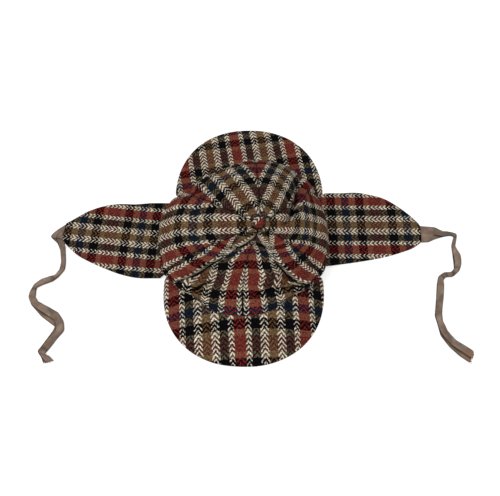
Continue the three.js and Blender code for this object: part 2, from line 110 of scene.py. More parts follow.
FOLDS = [
    # valley from the button down the front left gore, and the roll that hangs over it
    dict(line=LEFT_VALLEY, before=4, after=13),
    dict(line=[(-.153, .17, -2), (-.137, .245, -5), (-.129, .31, -6), (-.123, .39, -6),
               (-.114, .44, -3.5), (-.100, .49, -1.5), (-.103, .60, -0.5), (-.115, .74, 0)],
         before=17, after=5),
    # valley from the button down the front right gore, and the roll beside it
    dict(line=RIGHT_VALLEY, before=13, after=4),
    dict(line=[(.143, .17, -2), (.126, .24, -4.5), (.118, .31, -5.5), (.108, .40, -5.5),
               (.100, .46, -2), (.089, .57, -0.5), (.096, .72, 0)], before=5, after=17),
    # hanging cloth over the corners of the front peak
    dict(line=[(-.180, .09, -4.4), (-.155, .12, -4.4), (-.120, .14, -4.4)], before=12, after=12),
    dict(line=[(.180, .09, -6), (.150, .12, -6), (.115, .15, -5)], before=12, after=12),
    # tuck above the front peak on the right, and the roll that hangs over it
    dict(line=RIGHT_TUCK, before=2.5, after=9),
    dict(line=[(.050, .195, -2.5), (.068, .225, -4.5), (.098, .205, -4.5), (.125, .19, -2)],
         before=9, after=3.5),
    # small tuck above the front peak on the left
    dict(line=LEFT_TUCK, before=3, after=6),
    # crease from the back right gore to the right of the button
    dict(line=BACK_CREASE, before=3.5, after=11),
    dict(line=[(.372, .27, -2), (.351, .38, -4.5), (.332, .47, -5), (.297, .56, -4.5),
               (.268, .65, -3), (.240, .74, -1)], before=15, after=5),
    # fold along the back left seam, and the hollow below it
    dict(line=[(-.336, .26, 2), (-.346, .32, 6), (-.357, .42, 7), (-.358, .50, 5),
               (-.352, .58, 1)], before=6, after=10),
    dict(line=[(-.370, .20, 9.7), (-.400, .22, 9.7), (-.440, .24, 9.7)], before=18, after=18),
    # bends across the left gore
    dict(line=[(-.307, .50, 3), (-.262, .545, 4), (-.213, .535, 3)], before=9, after=11),
    dict(line=[(-.290, .26, 1), (-.250, .30, 2.5), (-.215, .27, 1)], before=12, after=12),
    # bend across the right gore
    dict(line=[(.200, .33, 1), (.235, .37, 3), (.275, .36, 1)], before=10, after=12),
]
# Painted shade of creases so tight that they are dark: line, how dark it gets and its width in mm;
# then the same painted shade for every seam of the crown, and what all of them are multiplied by
PAINTED_SHADE_CREASES = [(LEFT_VALLEY[1:6], 0.8, 2.4), (RIGHT_VALLEY[1:5], 0.7, 2.4),
                 (RIGHT_TUCK, 1.0, 2.0), (LEFT_TUCK, 0.7, 2.4), (BACK_CREASE[1:6], 0.6, 2.4),
                 (FRONT_SEAM, 0.9, 1.2)]
SEAM_PAINTED_SHADE, SEAM_WIDTH = 0.5, 0.9
PAINTED_SHADE_STRENGTH = 1.5

# Half width of a gore's flat cut, in mm, at shares of its length, and how far up the gore its
# first navy row lies
GORE_CUT = np.array([
    [0.00, 48.0], [0.13, 49.0], [0.27, 47.0], [0.40, 43.5], [0.46, 40.5], [0.52, 36.5],
    [0.63, 28.5], [0.75, 20.0], [0.87, 11.0], [1.00, 0.0]])
FIRST_NAVY_ROW = 6

# How far the cloth of each gore is pulled towards the button there, in mm, from the front right
# gore on round to the right
PULLED_UP = (3, 0, 9, 6, 0, 4)

# Cloth in the valleys of the two front gores, at shares of the gore's length: from where to where
# across the flat cut it is hidden, and the place of the outer seam, in mm from the cut's middle
LEFT_HIDDEN = np.array([
    [0.00, -19, -19, -48], [0.15, -19, -19, -49], [0.19, -20, -16, -50], [0.245, -22, -11, -52],
    [0.30, -23, -5, -55], [0.385, -23, 4, -57], [0.435, -23, 12, -57], [0.50, -23, 12, -54],
    [0.60, -24, 8, -46], [0.66, -23, 4, -40], [0.80, -14, 0, -24], [0.93, -5, -2, -8],
    [1.00, 0, 0, 0]])
RIGHT_HIDDEN = np.array([
    [0.00, 14, 14, 48], [0.14, 14, 14, 49], [0.17, 13, 15, 50], [0.23, 10, 19, 52],
    [0.30, -4, 22, 55], [0.385, -5, 23, 57], [0.44, -8, 23, 57], [0.555, -10, 24, 53],
    [0.62, -8, 25, 48], [0.70, -5, 25, 42], [0.85, 0, 19, 28], [0.93, 1, 10, 14],
    [1.00, 0, 0, 0]])

# Edges of the ear flaps at shares of their length, as in the solid hat: left back, left front,
# right back, right front
FLAP_EDGES = np.array([
    [0.00, 0.990, 0.990, 0.860, 0.980], [0.05, 0.985, 1.000, 0.970, 0.975],
    [0.22, 0.945, 1.020, 1.020, 0.860], [0.38, 0.855, 0.950, 1.065, 0.755],
    [0.53, 0.820, 0.815, 1.000, 0.645], [0.67, 0.710, 0.660, 0.870, 0.520],
    [0.81, 0.490, 0.467, 0.585, 0.355], [0.91, 0.235, 0.245, 0.320, 0.215],
    [0.97, 0.070, 0.080, 0.120, 0.080], [1.00, 0.000, 0.000, 0.000, 0.000]])

# Where the ribbons lie: middle of the ribbon out from the flap's tip and forward, in ribbon
# units, and the step from one edge to the other, out and forward, as shares of its width
LEFT_RIBBON = np.array([
    [0.000, 0.000, 0.10, 0.99], [0.017, 0.015, -0.47, 0.56], [0.031, 0.035, -0.80, 0.20],
    [0.023, 0.047, -0.68, 0.11], [0.005, 0.075, -0.41, 0.08], [-0.007, 0.113, -0.27, 0.00],
    [-0.018, 0.182, -0.25, 0.05], [-0.017, 0.223, -0.28, 0.00], [0.005, 0.261, -0.20, 0.10],
    [0.032, 0.276, -0.21, 0.31], [0.071, 0.290, -0.13, 0.33], [0.102, 0.312, -0.17, 0.20],
    [0.110, 0.340, -0.30, -0.06], [0.110, 0.372, -0.38, 0.04], [0.091, 0.407, -0.33, -0.15],
    [0.036, 0.450, -0.25, -0.54], [-0.017, 0.485, -0.24, -0.63], [-0.043, 0.516, -0.41, -0.27],
    [-0.044, 0.551, -0.57, 0.00], [-0.025, 0.581, -0.44, 0.15], [-0.002, 0.619, -0.39, 0.24],
    [0.014, 0.646, -0.39, 0.21], [0.024, 0.660, -0.41, 0.16], [-0.002, 0.684, -0.39, -0.07],
    [-0.020, 0.709, -0.52, -0.11]])
RIGHT_RIBBON = np.array([
    [0.000, 0.000, 0.05, -1.00], [0.056, 0.004, 0.43, -0.93], [0.085, 0.006, 0.38, -0.57],
    [0.121, 0.005, 0.21, -0.29], [0.155, 0.003, 0.12, -0.15], [0.177, 0.010, 0.16, -0.12],
    [0.170, 0.032, 0.18, -0.05], [0.157, 0.073, 0.17, 0.05], [0.161, 0.106, 0.28, 0.00],
    [0.166, 0.136, 0.41, -0.05], [0.164, 0.179, 0.39, -0.05], [0.156, 0.208, 0.24, 0.13],
    [0.127, 0.235, 0.05, 0.26], [0.092, 0.237, 0.07, 0.27], [0.069, 0.257, 0.21, 0.22],
    [0.062, 0.298, 0.34, 0.08], [0.051, 0.366, 0.35, 0.00], [0.037, 0.428, 0.33, 0.00],
    [0.031, 0.457, 0.35, -0.05], [0.034, 0.499, 0.26, -0.12], [0.047, 0.548, 0.37, -0.25],
    [0.083, 0.604, 0.37, -0.37], [0.126, 0.644, 0.44, -0.47], [0.162, 0.671, 0.21, -0.64]])

# The solid hat is centred on its box: the button shows by how much its own plan is shifted
button_low, button_high = (np.array(corner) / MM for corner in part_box("crown_button"))
PLAN_SHIFT = np.array([*((button_low + button_high)[:2] / 2 - APEX), 0.0])

# Camera, as worked out from the outline of the hat in the photograph
SENSOR_WIDTH = 36
FOCAL_SHARE = 713 / 500
CAMERA_DISTANCE = 850
CAMERA_TILT = np.radians(60)
AIM = PLAN_SHIFT + np.array([8, 0, 0])
camera_place = AIM + CAMERA_DISTANCE * np.array([0, -np.cos(CAMERA_TILT), np.sin(CAMERA_TILT)])
camera_data = bpy.data.cameras.new("camera")
camera_data.sensor_width = SENSOR_WIDTH
camera_data.lens = FOCAL_SHARE * SENSOR_WIDTH
camera = bpy.data.objects.new("camera", camera_data)
camera.location = camera_place * MM
camera.rotation_euler = (np.pi / 2 - CAMERA_TILT, 0, 0)
bpy.context.scene.collection.objects.link(camera)
bpy.context.scene.camera = camera


# Surfaces

def column(table, place, value):
    """Smooth curve through one column of a table: between two rows a cubic that leaves and
    enters with the slope from the row before to the row after."""
    at, y = table[:, 0], table[:, place]
    last = len(at) - 1
    before = np.maximum(np.arange(last + 1) - 1, 0)
    after = np.minimum(np.arange(last + 1) + 1, last)
    slope = (y[after] - y[before]) / (at[after] - at[before])
    row = np.clip(np.searchsorted(at, value, side="right") - 1, 0, last - 1)
    span = at[row + 1] - at[row]
    s = (value - at[row]) / span
    return ((2 * s**3 - 3 * s**2 + 1) * y[row] + (s**3 - 2 * s**2 + s) * span * slope[row]
            + (3 * s**2 - 2 * s**3) * y[row + 1] + (s**3 - s**2) * span * slope[row + 1])


def smooth_step(value):
    """0 below 0, 1 above 1, and a cubic with level ends between."""
    s = np.clip(value, 0, 1)
    return s * s * (3 - 2 * s)


def stack(x, y, z):
    """Points from three arrays of coordinates."""
    return np.stack(np.broadcast_arrays(x, y, z), axis=-1)


def unit(v):
    """Vectors divided by their length."""
    return v / np.maximum(np.linalg.norm(v, axis=-1, keepdims=True), 1e-9)


def opening_angle(around):
    """Angle round the head opening for an equal share of the length of the oval's edge."""
    w2, d2 = HEAD_HALF_WIDTH**2, HEAD_HALF_DEPTH**2
    even = 2 * np.pi * around
    return even + (d2 - w2) / (4 * (d2 + w2)) * np.sin(2 * even)


def opening_height(angle):
    """Height of the opening's edge: a cosine between its front and its back height."""
    return (FRONT_LIFT + BACK_LIFT) / 2 + (FRONT_LIFT - BACK_LIFT) / 2 * np.cos(angle)


def opening_point(angle, inset, z):
    """Oval of the opening, made smaller by the inset and swung to the right at the back."""
    back = np.maximum(-np.cos(angle), 0) ** PROFILE_SHARPNESS
    return stack((HEAD_HALF_WIDTH - inset) * np.sin(angle) + BACK_SWING * back,
                 HEAD_CENTRE_Y - (HEAD_HALF_DEPTH - inset) * np.cos(angle), z)


def plain_crown(around, up):
    """Crown without folds: rings of the opening's shape whose reach and rise follow the front,
    side and back profiles, each weighed by a power of the angle's cosine, and which lean
    towards the button with a smooth step."""
    angle = opening_angle(around)
    front = np.maximum(np.cos(angle), 0) ** PROFILE_SHARPNESS
    back = np.maximum(-np.cos(angle), 0) ** PROFILE_SHARPNESS
    side = 1 - front - back
    reach, rise = (front * column(FRONT_PROFILE, k, up) + side * column(SIDE_PROFILE, k, up)
                   + back * column(BACK_PROFILE, k, up) for k in (1, 2))
    lean = smooth_step((up - 0.1) / 0.9)
    base = opening_height(angle)
    return stack(
        lean * APEX_SHIFT[0] + reach * HEAD_HALF_WIDTH * np.sin(angle)
        + BACK_SWING * back * np.minimum(reach, 1),
        HEAD_CENTRE_Y + lean * APEX_SHIFT[1] - reach * HEAD_HALF_DEPTH * np.cos(angle),
        base + rise * (CROWN_HEIGHT - base))


def crown_normal(around, up):
    """Outward normal: cross product of the steps along the ring and up the gore."""
    step, last_ring = 0.004, 0.985
    ring = np.minimum(up, last_ring)
    top = np.minimum(up + step, 0.99)
    bottom = np.maximum(top - 2 * step, 0)
    along = plain_crown(around + step, ring) - plain_crown(around - step, ring)
    upwards = plain_crown(around, top) - plain_crown(around, bottom)
    return unit(np.cross(along, upwards))


def fold_depth(around, up, line, before, after):
    """Bell curve of the distance on the cloth from a line of points, with a width of its own on
    each side that narrows towards the button, times the depth at the nearest place of the
    line."""
    # about the length once round the crown at this share of the gore's length
    ring = np.pi * (HEAD_HALF_WIDTH + HEAD_HALF_DEPTH) * np.sqrt(np.maximum(1 - up**2, 0.08))
    narrowing = np.clip(1.25 - up, 0.35, 1)
    nearest = np.full(around.shape, np.inf)
    depth = np.zeros(around.shape)
    for (a0, u0, d0), (a1, u1, d1) in zip(line[:-1], line[1:]):
        x = ((around - a0 + 0.5) % 1 - 0.5) * ring
        y = (up - u0) * GORE_LENGTH
        lx, ly = (a1 - a0) * ring, (u1 - u0) * GORE_LENGTH
        t = np.clip((x * lx + y * ly) / (lx**2 + ly**2), 0, 1)
        dx, dy = x - t * lx, y - t * ly
        away = np.hypot(dx, dy)
        width = np.where(dx * ly - dy * lx >= 0, after, before) * narrowing
        here = (d0 + t * (d1 - d0)) * np.exp(-(away / width) ** 2)
        depth = np.where(away < nearest, here, depth)
        nearest = np.minimum(away, nearest)
    return depth


def ripples(p, seed, length, height):
    """Soft unevenness of hand-sewn cloth: the sum of six sine waves of about one length whose
    directions come from a seeded draw."""
    draw = np.random.default_rng(seed)
    total = np.zeros(p.shape[:-1])
    for _ in range(6):
        direction = unit(draw.normal(size=3)) * 2 * np.pi / (length * draw.uniform(0.7, 1.5))
        total += np.sin(p @ direction + draw.uniform(0, 2 * np.pi))
    return total / 6 * height


def crown_face(around, up, across):
    """Crown with its folds: the plain crown moved inwards along its normal by the sum of the
    folds, which fade out at the opening and under the button, by soft ripples, and by a groove
    along each seam, where across is 0 or 1."""
    groove_depth, groove_width = 1.3, 2.2
    plain = plain_crown(around, up)
    fade = smooth_step(up / 0.1) * smooth_step((1 - up) / 0.15)
    depth = sum(fold_depth(around, up, **fold) for fold in FOLDS) * fade
    depth += ripples(plain, seed=3, length=26, height=1.1) * fade
    to_seam = np.minimum(across, 1 - across) * 2 * column(GORE_CUT, 1, up)
    depth += groove_depth * np.exp(-(to_seam / groove_width) ** 2) * smooth_step(up / 0.04)
    return plain - crown_normal(around, up) * depth[..., None]


# Meshes

def grid_faces(rows, columns, start=0):
    """Corner numbers of the quads of a grid whose points are numbered row by row."""
    r, c = np.meshgrid(np.arange(rows - 1), np.arange(columns - 1), indexing="ij")
    a = (start + r * columns + c).ravel()
    return np.stack([a, a + 1, a + columns + 1, a + columns], axis=1)


def rim_of(rows, columns):
    """Numbers of a grid's border points, once round, and of their neighbours further in."""
    r = np.r_[np.zeros(columns - 1, int), np.arange(rows - 1),
              np.full(columns - 1, rows - 1), np.arange(rows - 1, 0, -1)]
    c = np.r_[np.arange(columns - 1), np.full(rows - 1, columns - 1),
              np.arange(columns - 1, 0, -1), np.zeros(rows - 1, int)]
    inner = np.clip(r, 1, rows - 2) * columns + np.clip(c, 1, columns - 2)
    return r * columns + c, inner


def make_piece(name, points, faces, uv, material, painted_shade=None):
    """Object at the origin from points in mm in the hat's own plan, with one UV place a point
    and, where given, how dark the painted shade of each point is, in creases, seams and the like."""
    mesh = bpy.data.meshes.new(name)
    mesh.from_pydata(((points + PLAN_SHIFT) * MM).tolist(), [], faces)
    corner_points = np.empty(len(mesh.loops), dtype=np.int32)
    mesh.loops.foreach_get("vertex_index", corner_points)
    layer = mesh.uv_layers.new(name="cloth")
    layer.data.foreach_set("uv", uv[corner_points].astype(np.float32).ravel())
    mesh.polygons.foreach_set("use_smooth", np.ones(len(mesh.polygons), dtype=bool))
    if painted_shade is not None:
        layer = mesh.attributes.new("painted_shade", "FLOAT", "POINT")
        layer.data.foreach_set("value", painted_shade.astype(np.float32))
    mesh.materials.append(material)
    mesh.update()
    piece = bpy.data.objects.new(name, mesh)
    bpy.context.scene.collection.objects.link(piece)
    return piece


# how far a fully rounded rim stands out and how far it is drawn in, as shares of the thickness
FULL_ROLL, FULL_TUCK = 0.35, 0.22


def cloth_shell(name, top, uv, thickness, material, roll=FULL_ROLL, down=None, painted_shade=None):
    """Closed piece of cloth: a grid of points, a second one below it by the thickness along the
    surface's normal, and a rounded rim between their borders. roll: how far the rim stands out,
    as a share of the thickness; down: the way down where it isn't the normal's."""
    rows, columns = top.shape[:2]
    if down is None:
        down = -unit(np.cross(np.gradient(top, axis=0), np.gradient(top, axis=1)))
        if down[..., 2].mean() > 0:
            down = -down
    down = np.broadcast_to(down, top.shape)
    low = top + down * thickness
    top, low, down = (v.reshape(-1, 3) for v in (top.copy(), low, down))
    rim, inner = rim_of(rows, columns)
    out = top[rim] - top[inner]
    out = unit(out - (out * down[rim]).sum(1, keepdims=True) * down[rim])
    middle = (top[rim] + low[rim]) / 2 + out * thickness * roll
    tuck = FULL_TUCK * thickness * min(roll / FULL_ROLL, 1)
    top[rim] += down[rim] * tuck
    low[rim] -= down[rim] * tuck
    count = rows * columns
    ring = np.arange(len(rim))
    following = np.roll(ring, -1)
    faces = np.concatenate([
        grid_faces(rows, columns),
        grid_faces(rows, columns, count)[:, ::-1],
        np.stack([rim[following], rim[ring], 2 * count + ring, 2 * count + following], axis=1),
        np.stack([2 * count + following, 2 * count + ring, count + rim[ring],
                  count + rim[following]], axis=1)])
    points = np.concatenate([top, low, middle])
    a, b, c, d = (points[faces[:, k]] for k in range(4))
    volume = (a * np.cross(b, c)).sum() + (a * np.cross(c, d)).sum()
    if volume < 0:
        faces = faces[:, ::-1]
    uv = uv.reshape(-1, 2)
    if painted_shade is not None:
        painted_shade = np.concatenate([painted_shade.ravel(), painted_shade.ravel(), painted_shade.ravel()[rim]])
    return make_piece(name, points, faces.tolist(), np.concatenate([uv, uv, uv[rim]]), material,
                      painted_shade)


# Materials

def linear(code):
    """Linear colour from an sRGB hex code."""
    srgb = np.array([int(code[k:k + 2], 16) for k in (1, 3, 5)]) / 255
    value = np.where(srgb <= 0.04045, srgb / 12.92, ((srgb + 0.055) / 1.055) ** 2.4)
    return (*value.tolist(), 1.0)


def add(tree, kind, inputs=None, **settings):
    """Adds a node with its settings. inputs: socket name or number to a value or to the output
    that feeds it."""
    node = tree.nodes.new(kind)
    for name, value in settings.items():
        setattr(node, name, value)
    for key, value in (inputs or {}).items():
        if isinstance(value, bpy.types.NodeSocket):
            tree.links.new(value, node.inputs[key])
        else:
            node.inputs[key].default_value = value
    return node


def calculate(tree, operation, *values):
    """Result of a math node; each value is a number or an output."""
    return add(tree, "ShaderNodeMath", dict(enumerate(values)), operation=operation).outputs[0]


def mapped(tree, value, low, high, to_low=0.0, to_high=1.0, kind="LINEAR"):
    """Value brought from one range to another and held inside it."""
    return add(tree, "ShaderNodeMapRange", {0: value, 1: low, 2: high, 3: to_low, 4: to_high},
               interpolation_type=kind).outputs[0]


def noise(tree, place, scale, detail):
    """Noise over the cloth. scale: waves per unit of the cloth places."""
    return add(tree, "ShaderNodeTexNoise", {"Vector": place, "Scale": scale, "Detail": detail},
               noise_dimensions="2D")


def painted_shade_factor(tree, least):
    """Painted shade of creases and the like: the share of the colour kept, 1 outside them, the least
    in their depth.
    """
    depth = add(tree, "ShaderNodeAttribute", attribute_name="painted_shade").outputs["Fac"]
    return mapped(tree, depth, 0.0, 1.0, 1.0, least)


def mixed(tree, share, first, second):
    """Colour between two colours."""
    return add(tree, "ShaderNodeMix", {0: share, 6: first, 7: second},
               data_type="RGBA").outputs[2]


def start_material(name):
    """Material without nodes, its node tree, and the output with the cloth places."""
    material = bpy.data.materials.new(name)
    material.use_nodes = True
    tree = material.node_tree
    tree.nodes.clear()
    return material, tree, add(tree, "ShaderNodeUVMap", uv_map="cloth").outputs[0]


def finish_material(tree, colour, light, relief, strength, distance, **shading):
    """Shader of the colour times the light, a factor that holds the painted shade, with a bump of the
    given strength and distance.
    """
    colour = add(tree, "ShaderNodeVectorMath", {0: colour, "Scale": light},
                 operation="SCALE").outputs[0]
    bump = add(tree, "ShaderNodeBump", {"Strength": strength, "Distance": distance,
                                        "Height": relief}).outputs[0]
    shader = add(tree, "ShaderNodeBsdfPrincipled",
                 {"Base Color": colour, "Normal": bump,
                  **{name.replace("_", " "): value for name, value in shading.items()}})
    add(tree, "ShaderNodeOutputMaterial", {0: shader.outputs[0]})


def set_stops(node, stops, interpolation="CONSTANT"):
    """Stops of a colour ramp: place and hex code."""
    ramp = node.color_ramp
    ramp.interpolation = interpolation
    while len(ramp.elements) > 1:
        ramp.elements.remove(ramp.elements[-1])
    for k, (place, code) in enumerate(stops):
        stop = ramp.elements[0] if k == 0 else ramp.elements.new(place)
        stop.position = place
        stop.color = linear(code)


def stripes(*bands):
    """Stops of a striped yarn order, from the middle of its first band on: each band's width in
    threads and its colour, turned to shares of one repeat."""
    total = sum(width for width, _ in bands)
    place = -bands[0][0] / 2
    stops = [(0.0, bands[0][1])]
    for width, code in bands:
        if place > 0:
            stops.append((place / total, code))
        place += width
    stops.append((1 - bands[0][0] / 2 / total, bands[0][1]))
    return stops


CREAM, TAN, RUST, INK = "#BFB3A0", "#6C4D2E", "#7C221B", "#09080B"
BLACK, NAVY, GOLD, BRICK = "#060609", "#0F1722", "#4B4132", "#3D2520"
# the distance of the twill lines along the warp in mm, about as coarse as in the photograph, and
# the columns of chevrons in one repeat
TWILL_PITCH = 5.1
CHEVRON_COLUMNS = 8.0


def tweed_cloth():
    """Woven wool tweed: herringbone twill of striped warp and weft. The warp shows on one half
    of each twill line and the weft on the other, so both stripes show through each other; the
    wool is matt, hairy and a little uneven in the yarn."""
    material, tree, place = start_material("wool_tweed")
    # threads wander by about 0.5 mm
    wander = noise(tree, place, scale=26.0, detail=2.0).outputs["Color"]
    wander = add(tree, "ShaderNodeVectorMath", {0: wander, 1: (0.5, 0.5, 0.5)},
                 operation="SUBTRACT").outputs[0]
    place = add(tree, "ShaderNodeVectorMath", {0: wander, 1: (0.02, 0.02, 0.0), 2: place},
                operation="MULTIPLY_ADD").outputs[0]
    across, along = add(tree, "ShaderNodeSeparateXYZ", {0: place}).outputs[:2]
    warp = add(tree, "ShaderNodeValToRGB", {0: calculate(tree, "FRACT", across)})
    set_stops(warp, stripes((11.8, RUST), (5.6, CREAM), (8.8, INK), (8.2, CREAM), (9, TAN),
                            (8.2, CREAM), (8.8, INK), (5.6, CREAM)))
    weft = add(tree, "ShaderNodeValToRGB", {0: calculate(tree, "FRACT", along)})
    set_stops(weft, stripes((8.5, BLACK), (5, GOLD), (12.5, BRICK), (5, GOLD), (8.5, BLACK),
                            (6.5, GOLD), (7.5, NAVY), (6.5, GOLD)))
    # twill lines run on along the warp and turn back at each column of chevrons
    zigzag = calculate(tree, "MULTIPLY_ADD", across, CHEVRON_COLUMNS, 0.5)
    zigzag = calculate(tree, "SUBTRACT", calculate(tree, "FRACT", zigzag), 0.5)
    zigzag = calculate(tree, "ABSOLUTE", zigzag)
    run = calculate(tree, "MULTIPLY", along, WEFT_REPEAT / TWILL_PITCH)
    run = calculate(tree, "MULTIPLY_ADD", zigzag, 2.0, run)
    twill = calculate(tree, "SINE", calculate(tree, "MULTIPLY", run, 2 * np.pi))
    # hairs of one yarn lie over the other, so the lines are broken; the dark weft is thicker
    # than the pale one and covers more of the warp
    hairs = noise(tree, place, scale=48.0, detail=2.0).outputs[0]
    broken = calculate(tree, "MULTIPLY_ADD", hairs, 3.0, twill)
    paleness = add(tree, "ShaderNodeRGBToBW", {0: weft.outputs[0]}).outputs[0]
    thickness = mapped(tree, paleness, 0.004, 0.035, -0.65, 0.0)
    broken = calculate(tree, "ADD", broken, thickness)
    sharp = mapped(tree, broken, 1.15, 2.15, kind="SMOOTHSTEP")
    # the twill lines of the red and tan yarns are blurred, about as in the photograph
    blurred = mapped(tree, broken, 0.45, 2.95)
    vivid = add(tree, "ShaderNodeSeparateColor", {0: warp.outputs[0]}, mode="HSV").outputs[1]
    hairy = mapped(tree, vivid, 0.45, 0.75, 0.0, 0.75)
    shown = add(tree, "ShaderNodeMix", {0: hairy, 2: sharp, 3: blurred}).outputs[0]
    woven = mixed(tree, shown, weft.outputs[0], warp.outputs[0])
    # speckled yarn, its specks drawn 1.6 mm long so that they show, and uneven dye over 30 mm
    specks = noise(tree, place, scale=44.0, detail=3.0).outputs[0]
    dye = noise(tree, place, scale=2.4, detail=2.0).outputs[0]
    light = calculate(tree, "MULTIPLY", mapped(tree, specks, 0.32, 0.68, 0.4, 1.48),
                      mapped(tree, dye, 0.3, 0.7, 0.9, 1.1))
    # painted shade in the creases, along the seams and round the button, down to 0.03 of the colour
    light = calculate(tree, "MULTIPLY", light, painted_shade_factor(tree, least=0.03))
    # each twill line stands up as a rounded ridge with hairs over it
    fuzz = noise(tree, place, scale=150.0, detail=3.0).outputs[0]
    relief = calculate(tree, "MULTIPLY_ADD", twill, 0.35, fuzz)
    finish_material(tree, woven, light, relief, strength=0.3, distance=0.0005, Roughness=0.95,
                    Specular_IOR_Level=0.03)
    return material


def ribbon_tape():
    """Taupe tape with fine ribs across it, a soft low sheen and a faded end. Grosgrain is a guess:
    the photograph is too coarse to show the weave."""
    material, tree, place = start_material("grosgrain_tape")
    across, along = add(tree, "ShaderNodeSeparateXYZ", {0: place}).outputs[:2]
    # ribs across the tape, and how far apart they are in mm
    rib_pitch = 1.1
    ribs = calculate(tree, "SINE", calculate(tree, "MULTIPLY", along, 2 * np.pi / rib_pitch))
    blotches = noise(tree, place, scale=0.09, detail=3.0).outputs[0]
    tone = add(tree, "ShaderNodeValToRGB", {0: blotches})
    set_stops(tone, [(0.3, "#5C4C40"), (0.55, "#715E50"), (0.75, "#857262")], "LINEAR")
    # from 208 mm on, so only at the end of the longer ribbon, it is faded to orange brown
    faded = mapped(tree, along, 208.0, 216.0, 0.0, 0.5)
    tone = mixed(tree, faded, tone.outputs[0], linear("#744D30"))
    # darker along both edges of the tape, down to half over the outer millimetre
    selvedge = mapped(tree, calculate(tree, "ABSOLUTE", across), 10.2, 11.2, 1.0, 0.5)
    # painted shade in the pleat and the folds, down to 0.15 of the colour
    light = calculate(tree, "MULTIPLY", selvedge, painted_shade_factor(tree, least=0.15))
    grain = noise(tree, place, scale=1.1, detail=3.0).outputs[0]
    relief = calculate(tree, "MULTIPLY_ADD", ribs, 0.3, grain)
    finish_material(tree, tone, light, relief, strength=0.4, distance=0.0003, Roughness=0.75,
                    Specular_IOR_Level=0.3, Sheen_Weight=0.1)
    return material


TWEED = tweed_cloth()
TAPE = ribbon_tape()


# Pieces

def shares(rows, columns):
    """Two grids of shares from 0 to 1, down the rows and across the columns."""
    return np.meshgrid(np.linspace(0, 1, rows), np.linspace(0, 1, columns), indexing="ij")


def plan_cloth(p, u, v):
    """Cloth places of a piece that is cut flat: for u and for v the distance along a direction
    in the plan, given by its angle in degrees, the length of a repeat and the start."""
    return np.stack([(p[..., 0] * np.cos(np.radians(turn)) + p[..., 1] * np.sin(np.radians(turn)))
                     / repeat + start for turn, repeat, start in (u, v)], axis=-1)


def finish_piece(piece, node):
    """Ties a piece to the hat's body and hides the solid that it stands for."""
    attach(piece, "root")
    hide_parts(node)


GORE_PLACES = ["front_right", "right", "back_right", "back_left", "left", "front_left"]
FRONT_GORES = {0: (RIGHT_VALLEY, RIGHT_HIDDEN), GORES - 1: (LEFT_VALLEY, LEFT_HIDDEN)}


def gore_cloth(number, up, c):
    """Cloth places of a gore. In a front gore the cloth is spread from each seam to the valley
    and jumps there over what is hidden in it; elsewhere it is spread evenly between the seams,
    a little wider where the cut bulges most. Near the button it is pulled up."""
    half_cut = column(GORE_CUT, 1, up)
    if number in FRONT_GORES:
        line, hidden = (np.array(table) for table in FRONT_GORES[number])
        first = 0 if number == 0 else -1 / GORES
        valley = (np.interp(up, line[:, 1], line[:, 0]) - first) * GORES
        low, high, seam = (np.interp(up, hidden[:, 0], hidden[:, k]) for k in (1, 2, 3))
        first_edge, last_edge = (-half_cut, seam) if number == 0 else (seam, half_cut)
        before = first_edge + (low - first_edge) * c / valley
        after = last_edge - (last_edge - high) * (1 - c) / (1 - valley)
        jump_width = 0.7
        past = smooth_step((c - valley) * 2 * half_cut / jump_width + 0.5)
        across = (1 - past) * before + past * after
    else:
        bulge = 4 * np.exp(-((up - 0.17) / 0.12) ** 2)
        across = (2 * c - 1) * (half_cut + bulge)
    pulled = PULLED_UP[number] * smooth_step((up - 0.6) / 0.25)
    return np.stack([0.5 + across / WARP_REPEAT,
                     -0.25 - (up * GORE_LENGTH + pulled - FIRST_NAVY_ROW) / WEFT_REPEAT], axis=-1)


def gore_painted_shade(around, up, c, face):
    """Painted shade of each point of a gore: the bell curves of the tight creases and of the seams,
    and a painted shadow in a ring close under the button."""
    painted_shade = sum(fold_depth(around, up, [(a, u, dark) for a, u, _ in line], width, width)
                 for line, dark, width in PAINTED_SHADE_CREASES)
    to_seam = np.minimum(c, 1 - c) * 2 * column(GORE_CUT, 1, up)
    from_button = np.linalg.norm(face[..., :2] - APEX, axis=-1)
    ring_width = 1.4
    painted_shade += (SEAM_PAINTED_SHADE * np.exp(-(to_seam / SEAM_WIDTH) ** 2)
               + 0.5 * smooth_step((BUTTON_RADIUS + ring_width - from_button) / ring_width))
    return np.clip(PAINTED_SHADE_STRENGTH * painted_shade, 0, 1)


for number, place_name in enumerate(GORE_PLACES):
    r, c = shares(220, 150) if number in FRONT_GORES else shares(130, 90)
    up = r * (1 - 0.5 * BUTTON_RADIUS / GORE_LENGTH)
    around = (number + c) / GORES
    face = crown_face(around, up, c)
    piece = cloth_shell(f"{place_name}_gore", face, gore_cloth(number, up, c), CROWN_WALL, TWEED,
                        roll=0, down=-crown_normal(around, up),
                        painted_shade=gore_painted_shade(around, up, c, face))
    finish_piece(piece, f"crown_{place_name}")


def peak_face(side, centre, half_width, reach, sewn, outline, bend):
    """Straight lines from the opening's edge to a rounded oval rim; the height falls along each
    line by a power of the share, from the opening's height to the thickness. sewn, outline: half
    of the angle that the seam and the rim take up; bend: the power."""
    r, c = shares(48, 150)
    sweep = 2 * c - 1
    angle = sweep * np.radians(sewn) + (np.pi if side > 0 else 0)
    sewn_height = opening_height(angle) - SEAM_GAP
    inner = opening_point(angle, CROWN_WALL + SEAM_GAP, sewn_height)
    turn = sweep * np.radians(outline)
    power = 2 / PEAK_ROUNDNESS
    across = np.sign(np.sin(turn)) * np.abs(np.sin(turn)) ** power
    out = np.sign(np.cos(turn)) * np.abs(np.cos(turn)) ** power
    rim = stack(centre[0] - side * half_width * across, centre[1] + side * reach * out,
                PEAK_THICKNESS)
    p = inner + (rim - inner) * r[..., None]
    p[..., 2] = PEAK_THICKNESS + (sewn_height - PEAK_THICKNESS) * (1 - r**bend)
    return p, r


